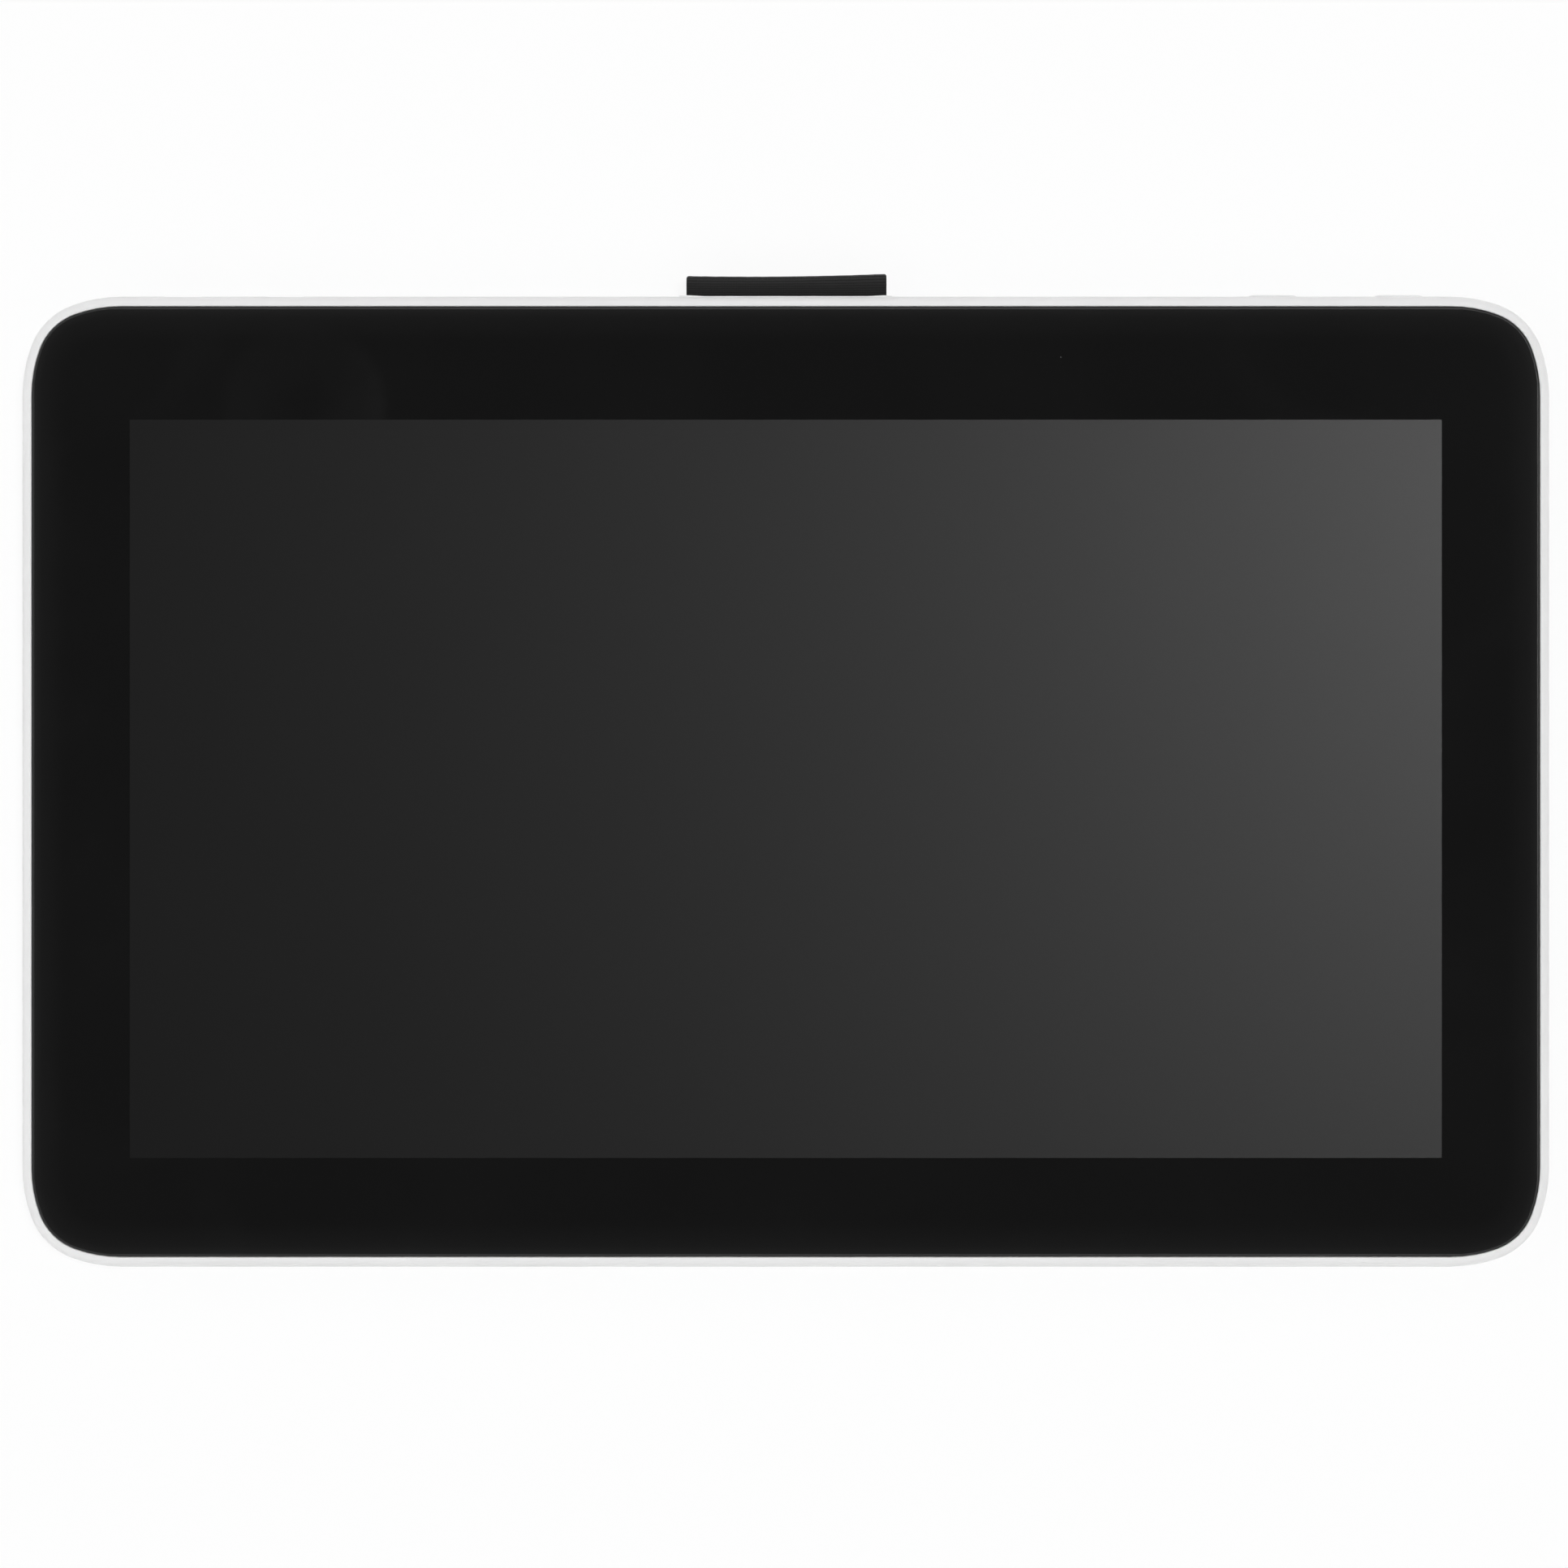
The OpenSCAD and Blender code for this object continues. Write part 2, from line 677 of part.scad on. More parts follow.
module board_chips() {
  color([0.1, 0.1, 0.1]) for (c = chips)
    edge_block(board_x0 + c[0], chip_in, z_board_top, [c[1], c[2], c[3]]);
}

// Metal can over the middle chip
module shield_can() {
  can_wall = 0.2;
  can_gap = 0.6;
  c = chips[1];
  inner = [c[1] + 2 * can_gap, c[2] + 2 * can_gap, c[3] + can_gap];
  color("silver") difference() {
    edge_block(board_x0 + c[0], chip_in - can_gap - can_wall, z_board_top,
      inner + [2 * can_wall, 2 * can_wall, can_wall]);
    edge_block(board_x0 + c[0], chip_in - can_gap, z_board_top - 1, inner + [0, 0, 1]);
  }
}

// A socket whose mouth lies at a distance in from the top edge
module flex_socket(x, mouth_in, flex_w) {
  edge_block(x, mouth_in - connector_d, z_board_top, [flex_w + socket_over, connector_d, connector_h]);
}

// Sockets for the ribbon cables, along the inner edge of the boards
module flex_connectors() {
  color("ivory") {
    flex_socket(display_flex_x, socket_in, display_flex_w);
    flex_socket(sensor_flex_x, socket_in, sensor_flex_w);
    flex_socket(button_flex_x[0], socket_in, button_flex_w);
    flex_socket(button_flex_x[1], button_socket_end, button_flex_w);
  }
}

// Port shells: tubes with round ends
module usb_shells() {
  y0 = edge_y - port_sunk - port_l;
  color("silver") for (x = port_x) difference() {
    edge_pill(x, y0, port_l, port_w, port_h);
    edge_pill(x, y0 - 1, port_l + 2, port_w - 2 * port_wall, port_h - 2 * port_wall);
  }
}

// Insulators that close the ports' backs and carry their tongues
module usb_tongues() {
  y0 = edge_y - port_sunk - port_l;
  back_l = 2.2;
  blade_short = 1;
  blade = [6.7, port_l - blade_short, 0.7];
  lining = 2 * (port_wall + fit_gap / 2);
  color([0.12, 0.12, 0.12]) for (x = port_x) {
    edge_pill(x, y0, back_l, port_w - lining, port_h - lining);
    translate([x - blade.x / 2, y0, z_edge - blade.z / 2]) cube(blade);
  }
}

// Board behind the buttons
module button_board() {
  color("seagreen") difference() {
    translate([button_board_x0, edge_y - board_in - button_board_d, z_board])
      cube([button_board_x1 - button_board_x0, button_board_d, board_t]);
    board_screw_holes();
  }
}

z_switch = z_board_top + switch_h / 2;

// Switches behind the buttons, each with a pocket for its plunger
module button_switches() {
  pocket_l = plunger_l + button_travel + fit_gap;
  color([0.15, 0.15, 0.15]) for (x = button_x) difference() {
    edge_block(x, switch_in, z_board_top, [switch_w, switch_d, switch_h]);
    edge_block(x, switch_in - 1, z_switch - plunger_h / 2 - fit_gap,
      [plunger_w + 2 * fit_gap, pocket_l + 1, plunger_h + 2 * fit_gap]);
  }
}

// A plunger, half inside its switch
module plunger(x) {
  color("ivory") edge_block(x, switch_in - plunger_l, z_switch - plunger_h / 2,
    [plunger_w, 2 * plunger_l, plunger_h]);
}

// A button: a domed cap through the wall, a flange that keeps it in and a post that meets the plunger
module button(x) {
  r = button_h / 2;
  post_w = 3;
  post_h = 1.6;
  dome_steps = 4;
  cap_l = flange_in + button_proud;
  dome_flat = 0.25 * r;
  dome_fall = 1.5 * button_proud;
  post_in = flange_in + flange_t;
  // Half of the cap's section: flat in the middle, then falling away to its rim
  dome = [for (a = steps(0, 90, dome_steps)) [
    dome_flat + (r - dome_flat) * sin(a), cap_l - dome_fall * (1 - cos(a))
  ]];
  color("whitesmoke") {
    translate([x, edge_y - flange_in, z_edge]) rotate([-90, 0, 0]) upright_pill(button_l - button_h)
      polygon(concat([[0, 0], [0, cap_l]], dome, [[r, 0]]));
    edge_block(x, flange_in, z_edge - r + fit_gap,
      [button_l + 2 * flange_over, flange_t, button_h - 2 * fit_gap]);
    edge_block(x, post_in, z_switch - post_h / 2, [post_w, switch_in - plunger_l - post_in, post_h]);
  }
}

module power_button() {
  button(button_x[0]);
}

module menu_button() {
  button(button_x[1]);
}

module power_plunger() {
  plunger(button_x[0]);
}

module menu_plunger() {
  plunger(button_x[1]);
}

// Status lamp on the button board, behind its light pipe
module status_led() {
  lamp_w = 1.6;
  lamp_d = 1;
  color("white") edge_block(led_x, edge_pipe_end + fit_gap, z_board_top,
    [lamp_w, lamp_d, z_edge - z_board_top + pipe_r]);
}

edge_pipe_end = pipe_l + fit_gap;

// Light pipe in the top edge
module light_pipe() {
  color("aliceblue") translate([led_x, edge_y - edge_pipe_end, z_edge]) rotate([-90, 0, 0])
    cylinder(r = pipe_r, h = pipe_l);
}

// Screws that hold the boards and the loop's guide to the rear cover
module board_screws() {
  color("silver") at_places(board_screw_places) screw_down(z_board_top, z_board_top - z_floor);
}

// Guide for the pen loop: a channel with posts that stop the bar, and an ear on each side
module loop_guide() {
  w = channel_w + 2 * guide_wall;
  l = loop_rear - guide_in + fit_gap;
  h = z_deck - fit_gap - z_board;
  slot_w = loop_w + 2 * slot_gap;
  color("dimgray") difference() {
    union() {
      edge_block(0, guide_in, z_board, [w, l, h]);
      for (s = [-1, 1]) translate([s * guide_ear_x, guide_ear_y, z_board]) {
        cylinder(r = boss_r, h = board_t);
        translate([s < 0 ? 0 : -boss_r - guide_wall, -boss_r, 0])
          cube([boss_r + guide_wall, 2 * boss_r, board_t]);
      }
    }
    edge_block(0, guide_in + guide_wall, z_board + guide_floor, [channel_w, l, h]);
    edge_block(0, guide_in - 1, z_board + guide_floor, [slot_w, l, h]);
    board_screw_holes();
  }
}

// Bar inside the loop's far end, wider than the guide's slot
module loop_stop_bar() {
  color([0.2, 0.2, 0.2]) edge_block(0, bar_front, z_edge - stop_bar_t / 2,
    [loop_w + 2 * stop_bar_over, stop_bar_d, stop_bar_t]);
}

// Section of the loop as [distance out from the top edge, height] points. It wraps the stop bar at its
// far end, narrows to two plies in the slot, and opens into an eye outside. depth is measured in
// from the outer face of the fabric.
function loop_section(depth) =
  let (
    eye_r = eye_half - depth,
    bar_r = bar_half - depth,
    mid_r = mid_half - depth,
    eye_c = loop_reach - eye_half,
    rear_c = -bar_front - stop_bar_d,
    rear_r = rear_slack + ply_t - depth,
    neck = 2,
    eye_from = 0.2 * eye_c,
    upper = concat(
      [for (a = steps(180, 90, 6)) [rear_c + rear_r * cos(a), bar_r * sin(a)]],
      [for (t = steps(0, 1, 6)) [neck * t - bar_front, bar_r + (mid_r - bar_r) * ease(t)]],
      [for (i = [0:5]) let (t = i / 6)
        [eye_from + (eye_c - eye_from) * t, mid_r + (eye_r - mid_r) * ease(t)]],
      [for (a = steps(90, 0, 8)) [eye_c + eye_r * cos(a), eye_r * sin(a)]]
    ),
    n = len(upper)
  )
  concat(upper, [for (i = [n - 2:-1:1]) [upper[i].x, -upper[i].y]]);

// Fabric pen loop
module pen_loop() {
  color([0.15, 0.15, 0.15]) translate([-loop_w / 2, edge_y, z_edge]) rotate([90, 0, 90])
    linear_extrude(loop_w) difference() {
      polygon(loop_section(0));
      polygon(loop_section(ply_t));
    }
}

// A ribbon cable bent down from the panel's top edge into a socket, as a strip along [distance in from
// the top edge, height] points
module ribbon(x, w, path) {
  n = len(path);
  half = flex_t / 2;
  function along(i) = let (d = path[min(i + 1, n - 1)] - path[max(i - 1, 0)]) d / norm(d);
  left = [for (i = [0:n - 1]) path[i] + half * [-along(i).y, along(i).x]];
  right = [for (i = [n - 1:-1:0]) path[i] - half * [-along(i).y, along(i).x]];
  color("chocolate") translate([x - w / 2, edge_y, 0]) rotate([90, 0, 90]) linear_extrude(w)
    polygon([for (p = concat(left, right)) [-p.x, p.y]]);
}

panel_top_in = edge_y - active_y - panel_h / 2;
z_socket = z_board_top + connector_h / 2;

// Path of a ribbon from a layer of the panel, over the chassis's edge and down to a socket. It runs
// outwards or inwards, whichever way the socket lies from the panel's edge.
function ribbon_path(z) =
  let (
    drop_in = panel_top_in - window_gap / 2,
    z_over = z_foam + 2 * flex_t,
    end_in = socket_in + bay_gap / 2,
    start = flex_bend / 2,
    run = end_in > drop_in ? flex_bend : -flex_bend
  )
  [
    [panel_top_in, z], [drop_in + start, z], [drop_in, z - start],
    [drop_in, z_over + flex_bend], [drop_in + run, z_over],
    [end_in - run, z_over], [end_in, z_over - flex_bend],
    [end_in, z_socket + flex_bend], [end_in - flex_bend, z_socket], [socket_in, z_socket]
  ];

// Path of a ribbon that rises from the floor into a socket
function riser_path(socket) =
  let (z0 = z_floor + flex_t / 2, end_in = socket + bay_gap / 2)
  [
    [socket + bay_gap + button_flex_w, z0], [end_in + flex_bend, z0], [end_in, z0 + flex_bend],
    [end_in, z_socket - flex_bend], [end_in - flex_bend, z_socket], [socket, z_socket]
  ];

module display_flex() {
  ribbon(display_flex_x, display_flex_w, ribbon_path(z_cell + cell_t / 2));
}

module sensor_flex() {
  ribbon(sensor_flex_x, sensor_flex_w, ribbon_path(z_sensor + sensor_t / 2));
}

// Ribbon on the floor from the main board's socket to the button board's
module button_flex() {
  x = button_flex_x;
  w = button_flex_w;
  color("chocolate") translate([x[0] - w / 2, board_y0 - fit_gap - w, z_floor])
    cube([x[1] - x[0] + w, w, flex_t]);
  ribbon(x[0], w, riser_path(socket_in));
  ribbon(x[1], w, riser_path(button_socket_end));
}

// Moves a piece from the case's own centre to the part's frame
module placed() {
  translate([0, case_y, 0]) children();
}

placed() rear_cover();
placed() front_frame();
placed() cover_glass();
placed() border_print();
placed() optical_bond();
placed() glass_tape();
placed() lcd_cell();
placed() diffuser_films();
placed() light_guide();
placed() reflector_sheet();
placed() led_bar();
placed() panel_tray();
placed() pen_sensor();
placed() sensor_shield();
placed() foam_pads();
placed() chassis();
placed() frame_screws();
placed() thread_inserts();
placed() cover_screws();
placed() rubber_feet();
placed() main_board();
placed() board_chips();
placed() shield_can();
placed() flex_connectors();
placed() usb_shells();
placed() usb_tongues();
placed() button_board();
placed() button_switches();
placed() power_button();
placed() menu_button();
placed() power_plunger();
placed() menu_plunger();
placed() status_led();
placed() light_pipe();
placed() board_screws();
placed() loop_guide();
placed() loop_stop_bar();
placed() pen_loop();
placed() display_flex();
placed() sensor_flex();
placed() button_flex();
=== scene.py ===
# Pen display tablet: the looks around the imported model, in metres, in the model's own frame.
import json
import math

import bmesh
import bpy
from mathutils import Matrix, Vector

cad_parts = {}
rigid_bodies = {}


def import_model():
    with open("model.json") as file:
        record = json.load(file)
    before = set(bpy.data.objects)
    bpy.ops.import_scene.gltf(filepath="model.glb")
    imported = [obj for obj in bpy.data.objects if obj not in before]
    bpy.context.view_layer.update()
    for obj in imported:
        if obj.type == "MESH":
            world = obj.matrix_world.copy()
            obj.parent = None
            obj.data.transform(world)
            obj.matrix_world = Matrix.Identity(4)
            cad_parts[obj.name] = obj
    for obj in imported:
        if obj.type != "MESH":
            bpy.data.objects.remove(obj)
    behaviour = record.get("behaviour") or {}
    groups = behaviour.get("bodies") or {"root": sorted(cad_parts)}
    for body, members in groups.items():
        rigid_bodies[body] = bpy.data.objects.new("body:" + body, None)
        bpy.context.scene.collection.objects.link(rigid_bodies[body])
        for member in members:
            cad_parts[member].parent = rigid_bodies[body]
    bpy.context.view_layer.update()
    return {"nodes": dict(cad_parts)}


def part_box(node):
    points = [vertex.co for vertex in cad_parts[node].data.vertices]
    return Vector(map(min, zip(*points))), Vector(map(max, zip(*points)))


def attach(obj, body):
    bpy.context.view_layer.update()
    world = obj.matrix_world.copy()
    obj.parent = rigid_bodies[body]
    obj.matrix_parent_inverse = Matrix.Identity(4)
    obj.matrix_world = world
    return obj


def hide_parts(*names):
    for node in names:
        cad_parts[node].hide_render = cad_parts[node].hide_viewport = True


for spare in list(bpy.data.objects):
    bpy.data.objects.remove(spare)

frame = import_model()

MM = 0.001
TOUCH = 0.001 * MM

# Camera

PIXELS = 1932
FOCAL_PIXELS = 6938
SENSOR = 36.0
CAMERA_PLACE = (-0.35 * MM, -2.61 * MM, 1109.9 * MM)

camera = bpy.data.objects.new("camera", bpy.data.cameras.new("camera"))
camera.data.sensor_width = SENSOR
camera.data.lens = FOCAL_PIXELS / PIXELS * SENSOR
camera.data.clip_end = 100
camera.location = CAMERA_PLACE
bpy.context.scene.collection.objects.link(camera)
bpy.context.scene.camera = camera
bpy.context.scene.view_settings.view_transform = "Standard"

# Helpers for node trees and meshes


class Nodes:
    """A node tree with short calls for adding nodes and joining their sockets."""

    def __init__(self, tree):
        self.tree = tree

    def feed(self, socket, value):
        if isinstance(value, bpy.types.NodeSocket):
            self.tree.links.new(value, socket)
        else:
            socket.default_value = value

    def add(self, kind, sockets=None, **settings):
        made = self.tree.nodes.new("ShaderNode" + kind)
        for name, value in settings.items():
            setattr(made, name, value)
        for name, value in (sockets or {}).items():
            self.feed(made.inputs[name], value)
        return made

    def mix(self, share, first, second):
        made = self.add("Mix", data_type="RGBA")
        for index, value in ((0, share), (6, first), (7, second)):
            self.feed(made.inputs[index], value)
        return made.outputs[2]

    def span(self, value, low, high, to_low, to_high, smooth=False):
        sockets = {"Value": value, "From Min": low, "From Max": high, "To Min": to_low, "To Max": to_high}
        kind = "SMOOTHSTEP" if smooth else "LINEAR"
        return self.add("MapRange", sockets, interpolation_type=kind).outputs["Result"]

    def maths(self, operation, first, second=0.0):
        return self.add("Math", {0: first, 1: second}, operation=operation).outputs[0]

    def stripes(self, place, axis, pitch, **sockets):
        """Even stripes along one axis of a pattern, dark where they start, at a pitch in metres."""
        made = self.add("TexWave", {"Vector": place, "Scale": math.pi / 10 / pitch}, bands_direction=axis)
        for name, value in sockets.items():
            made.inputs[name.replace("_", " ")].default_value = value
        return made.outputs["Fac"]


def grey(level, warm=0.0):
    return (level * (1 + warm), level, level * (1 - warm), 1.0)


def add_piece(name, bm, *materials):
    mesh = bpy.data.meshes.new(name)
    bm.to_mesh(mesh)
    bm.free()
    for material in materials:
        mesh.materials.append(material)
    made = bpy.data.objects.new(name, mesh)
    bpy.context.scene.collection.objects.link(made)
    return made


# Light and backdrop


def studio_world():
    """A dim ceiling in a pale ring, dusk below the ring, and one soft box to the upper right.

    The ring is brighter away from the box. Heights are sines of the elevation, and the box's rim and core
    are cosines of the angle from its middle.
    """
    ceiling, dusk = 0.03, 0.2
    ceiling_edge, ring_top, ring_foot, dusk_top = 0.87, 0.68, 0.6, 0.28
    near_box, away_from_box = 0.74, 1.80
    box_rim, box_core, box_light = 0.9965, 0.9986, 80.0
    to_box = Vector((0.240, 0.090, 1.0)).normalized()
    from_box = Vector((-to_box.x, -to_box.y, 0)).normalized()

    world = bpy.data.worlds.new("studio")
    bpy.context.scene.world = world
    world.use_nodes = True
    n = Nodes(world.node_tree)
    way = n.add("TexCoord").outputs["Generated"]

    def along(direction):
        return n.add("VectorMath", {0: way, 1: direction}, operation="DOT_PRODUCT").outputs["Value"]

    up = along((0, 0, 1))
    ring = n.span(up, ceiling_edge, ring_top, ceiling, 1.0, smooth=True)
    low = n.span(up, dusk_top, ring_foot, dusk, 1.0, smooth=True)
    fill = n.span(along(from_box), -1.0, 1.0, near_box, away_from_box)
    ring = n.maths("MULTIPLY", n.maths("MULTIPLY", ring, low), fill)
    box = n.span(along(to_box), box_rim, box_core, 0.0, box_light, smooth=True)
    light = world.node_tree.nodes["Background"]
    light.inputs["Color"].default_value = grey(1.0)
    n.feed(light.inputs["Strength"], n.maths("ADD", ring, box))


def white_paper():
    """Paper that shows as white in the picture and in reflections, and still takes the object's shadow."""
    paper_level, shown_white = 0.92, 0.88
    material = bpy.data.materials.new("white_paper")
    material.use_nodes = True
    n = Nodes(material.node_tree)
    paper = material.node_tree.nodes["Principled BSDF"]
    paper.inputs["Base Color"].default_value = grey(paper_level)
    paper.inputs["Roughness"].default_value = 0.9
    paper.inputs["Specular IOR Level"].default_value = 0.1
    glow = n.add("Emission", {"Color": grey(1.0), "Strength": 1.0})
    path = n.add("LightPath").outputs
    seen = n.maths("MAXIMUM", path["Is Camera Ray"], path["Is Glossy Ray"])
    seen = n.maths("MAXIMUM", seen, path["Is Transmission Ray"])
    share = n.maths("MULTIPLY", seen, shown_white)
    both = n.add("MixShader", {0: share, 1: paper.outputs[0], 2: glow.outputs[0]})
    n.feed(material.node_tree.nodes["Material Output"].inputs["Surface"], both.outputs[0])
    return material


def white_cove():
    """A round floor that sweeps up into a low wall."""
    floor_z, floor_r, cove_r, wall_top = -0.05 * MM, 3.6, 0.6, 0.9
    cove_steps, steps_around = 8, 96
    profile = [(0.0, floor_z), (floor_r, floor_z)]
    for k in range(1, cove_steps + 1):
        turn = math.pi / 2 * k / cove_steps
        profile.append((floor_r + cove_r * math.sin(turn), floor_z + cove_r * (1 - math.cos(turn))))
    profile.append((floor_r + cove_r, wall_top))

    bm = bmesh.new()
    verts = [bm.verts.new((r, 0, z)) for r, z in profile]
    edges = [bm.edges.new(pair) for pair in zip(verts, verts[1:])]
    bmesh.ops.spin(
        bm, geom=verts + edges, axis=(0, 0, 1), cent=(0, 0, 0), angle=2 * math.pi, steps=steps_around,
        use_merge=True)
    bmesh.ops.remove_doubles(bm, verts=bm.verts[:], dist=0.01 * MM)
    bmesh.ops.recalc_face_normals(bm, faces=bm.faces[:])
    if sum(f.normal.z for f in bm.faces if f.calc_center_median().z < 0) < 0:
        bmesh.ops.reverse_faces(bm, faces=bm.faces[:])
    for face in bm.faces:
        face.smooth = True
    add_piece("cove", bm, white_paper())


studio_world()
white_cove()

# Folded section of the pen loop, in millimetres, with places measured out from the case's top edge

BAND_W = 39.2  # width of the band
BAND_SHIFT = 0.13  # how far it sits to the right of the case's middle
PLY = 0.7  # thickness of the band
RIBS = 92  # ribs once round the fold
RIB_DEPTH = 0.07
REACH = 4.3  # how far the solid loop stands out
EYE_FROM = 0.58  # where the two plies part towards the eye
EYE_C = 2.9  # middle of the eye's round end
EYE_R = 1.05
MID_R = 0.60  # half height in the slot
NECK = 2.0  # length over which the plies close in front of the stop bar
BAR_FRONT = 13.8  # where they start to close, inside the case
BAR_REAR = 15.8  # where the round behind the stop bar starts
BAR_R = 0.95  # half height round the stop bar
REAR_R = 0.65  # depth of the round behind it

loop_low, loop_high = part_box("pen_loop")
EDGE_Y = loop_high.y / MM - REACH
LOOP_Z = (loop_low.z + loop_high.z) / 2 / MM


def ease_in(t):
    t = min(max(t, 0.0), 1.0)
    return t * t * (3 - 2 * t)


def half_height(out):
    """Half height of the folded band: round the bar, down the neck, two plies in the slot, then the eye."""
    if out < -BAR_REAR:
        return BAR_R * math.sqrt(max(0.0, 1 - ((out + BAR_REAR) / REAR_R) ** 2))
    if out < EYE_FROM:
        return BAR_R + (MID_R - BAR_R) * ease_in((out + BAR_FRONT) / NECK)
    if out < EYE_C:
        return MID_R + (EYE_R - MID_R) * ease_in((out - EYE_FROM) / (EYE_C - EYE_FROM))
    return math.sqrt(max(0.0, EYE_R ** 2 - (out - EYE_C) ** 2))


def fold_line():
    """Points [length along the band, out, height] once round the fold, from its rear over the top."""
    rear, front, count = -BAR_REAR - REAR_R, EYE_C + EYE_R, 600
    half = []
    for k in range(count + 1):
        out = rear + (front - rear) * (1 - math.cos(math.pi * k / count)) / 2
        half.append((out, half_height(out)))
    ring = half + [(out, -h) for out, h in reversed(half[:-1])]
    line, along = [(0.0, *ring[0])], 0.0
    for a, b in zip(ring, ring[1:]):
        along += math.dist(a, b)
        line.append((along, *b))
    return line


FOLD = fold_line()
BAND_LENGTH = FOLD[-1][0]

# Shared surface effects


def new_group(name, inputs, outputs):
    group = bpy.data.node_groups.new(name, "ShaderNodeTree")
    for socket in inputs:
        group.interface.new_socket(socket, in_out="INPUT", socket_type="NodeSocketFloat")
    for socket in outputs:
        group.interface.new_socket(socket, in_out="OUTPUT", socket_type="NodeSocketFloat")
    entry = group.nodes.new("NodeGroupInput").outputs
    leave = group.nodes.new("NodeGroupOutput").inputs
    return group, Nodes(group), entry, leave


def moulded_grain_group():
    """Fine tooth of a surface at a pitch in millimetres, and a slow drift across the piece."""
    drifts_per_metre = 38.0
    group, n, entry, leave = new_group("moulded_grain", ["Pitch"], ["Height", "Mottle"])
    place = n.add("TexCoord").outputs["Object"]
    per_metre = n.maths("DIVIDE", 1 / MM, entry["Pitch"])
    tooth = n.add("TexNoise", {"Vector": place, "Scale": per_metre, "Detail": 3.0, "Roughness": 0.55})
    drift = n.add("TexNoise", {"Vector": place, "Scale": drifts_per_metre, "Detail": 3.0, "Roughness": 0.5})
    n.feed(leave["Height"], tooth.outputs["Fac"])
    n.feed(leave["Mottle"], n.span(drift.outputs["Fac"], 0.3, 0.7, 0.0, 1.0))
    return group


def handling_group():
    """Smudges left by hands, and dust specks in a share of the cells of a loose pattern."""
    smears_per_metre, cells_per_metre, speck_rim, speck_core = 22.0, 95.0, 0.016, 0.008
    group, n, entry, leave = new_group("handling", ["Dust"], ["Smudge", "Speck"])
    place = n.add("TexCoord").outputs["Object"]
    smear = n.add("TexNoise", {
        "Vector": place, "Scale": smears_per_metre, "Detail": 4.0, "Distortion": 1.6})
    n.feed(leave["Smudge"], n.span(smear.outputs["Fac"], 0.52, 0.74, 0.0, 1.0, smooth=True))
    cells = n.add("TexVoronoi", {"Vector": place, "Scale": cells_per_metre})
    dot = n.span(cells.outputs["Distance"], speck_rim, speck_core, 0.0, 1.0, smooth=True)
    lot = n.add("SeparateXYZ", {"Vector": cells.outputs["Color"]}).outputs["X"]
    kept = n.maths("LESS_THAN", lot, entry["Dust"])
    n.feed(leave["Speck"], n.maths("MULTIPLY", dot, kept))
    return group


GRAIN = moulded_grain_group()
HANDLING = handling_group()


def start_material(name, **sockets):
    material = bpy.data.materials.new(name)
    material.use_nodes = True
    shader = material.node_tree.nodes["Principled BSDF"]
    for key, value in sockets.items():
        shader.inputs[key.replace("_", " ")].default_value = value
    return material, Nodes(material.node_tree), shader.inputs


def add_grain(n, pitch):
    return n.add("Group", {"Pitch": pitch}, node_tree=GRAIN).outputs


def add_handling(n, dust):
    return n.add("Group", {"Dust": dust}, node_tree=HANDLING).outputs


def add_bump(n, shader, height, depth, strength=1.0):
    bump = n.add("Bump", {"Height": height, "Distance": depth * MM, "Strength": strength})
    n.feed(shader["Normal"], bump.outputs["Normal"])


# Finishes


def plain_finish(name, base, drift, rough, tooth=(0.3, 0.01), **sockets):
    """A finish whose colour and gloss drift across the piece, with a tooth of a pitch and a depth."""
    pitch, depth = tooth
    material, n, shader = start_material(name, **sockets)
    grain = add_grain(n, pitch)
    n.feed(shader["Base Color"], n.mix(grain["Mottle"], base, drift))
    n.feed(shader["Roughness"], n.span(grain["Mottle"], 0.0, 1.0, *rough))
    add_bump(n, shader, grain["Height"], depth)
    return material


def white_shell(name, pitch, depth):
    """White moulded plastic with a fine spark texture, faint smudges and the odd speck."""
    material, n, shader = start_material(name, Specular_IOR_Level=0.35)
    grain = add_grain(n, pitch)
    hands = add_handling(n, 0.10)
    colour = n.mix(grain["Mottle"], grey(0.845), grey(0.862))
    colour = n.mix(n.maths("MULTIPLY", hands["Smudge"], 0.05), colour, grey(0.6, 0.02))
    n.feed(shader["Base Color"], n.mix(n.maths("MULTIPLY", hands["Speck"], 0.5), colour, grey(0.3)))
    n.feed(shader["Roughness"], n.span(hands["Smudge"], 0.0, 1.0, 0.58, 0.52))
    add_bump(n, shader, grain["Height"], depth)
    return material


GLASS_COAT = {"Coat_IOR": 1.5, "Coat_Roughness": 0.03}


def coat_with_smudges(n, shader, hands):
    n.feed(shader["Coat Weight"], n.span(hands["Smudge"], 0.0, 1.0, 1.0, 0.94))


